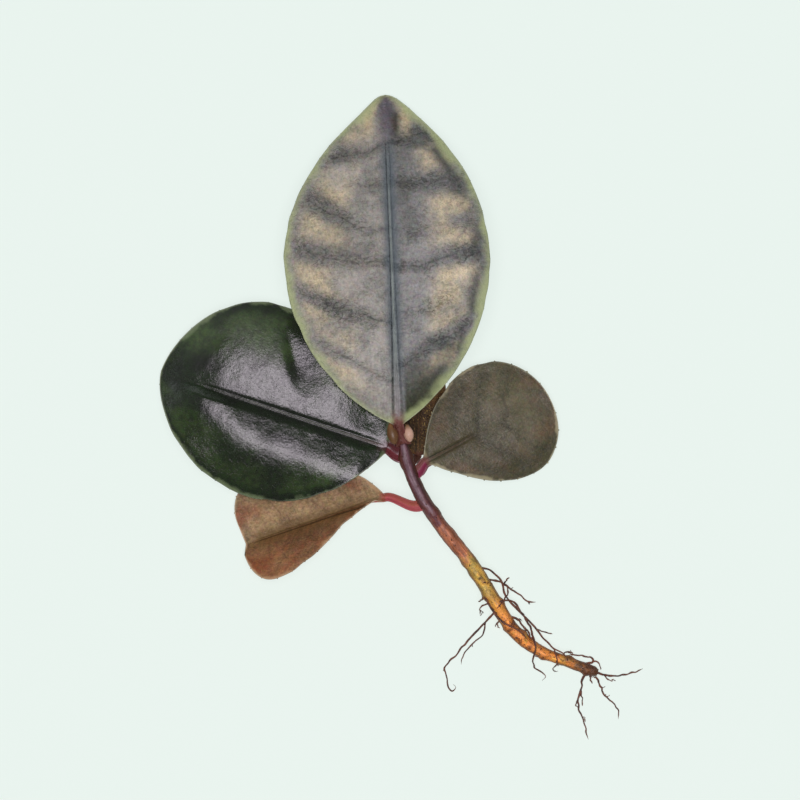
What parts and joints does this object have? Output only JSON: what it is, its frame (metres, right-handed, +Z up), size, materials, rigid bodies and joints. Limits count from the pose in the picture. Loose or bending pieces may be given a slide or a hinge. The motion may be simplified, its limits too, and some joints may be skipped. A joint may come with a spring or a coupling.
{
  "type": "bare-root ardisia plant",
  "caption": "Small woody-stemmed ardisia plant with bare fine roots and leathery leaves, lying flat as picked.",
  "frame": {"origin": "middle of the plant's bounding box, on the surface that it lies on", "axes": "+Z up from the surface; +Y along the tall leaf, from the root end towards its tip; +X to the right as seen from above"},
  "size_m": [0.0874, 0.1166, 0.01],
  "materials": {
    "bark": "satin",
    "bud": "satin",
    "leaf_tall": "satin",
    "leaf_dark": "gloss",
    "leaf_right": "satin",
    "leaf_folded": "satin",
    "leaf_under": "satin",
    "root": "matte"
  },
  "bodies": {
    "root": {"stem": "bark", "bud": "bud", "side_bud": "bud", "leaf_tall": "leaf_tall", "leaf_dark": "leaf_dark", "leaf_right": "leaf_right", "leaf_folded": "leaf_folded", "leaf_under": "leaf_under", "root_long": "root", "root_reach": "root", "root_front": "root", "root_short": "root", "root_edge": "root", "root_west": "root", "root_hook": "root", "root_spur": "root", "root_hair": "root", "root_loop": "root", "root_down": "root", "root_slant": "root", "root_stub": "root", "root_east": "root"}
  },
  "joints": []
}
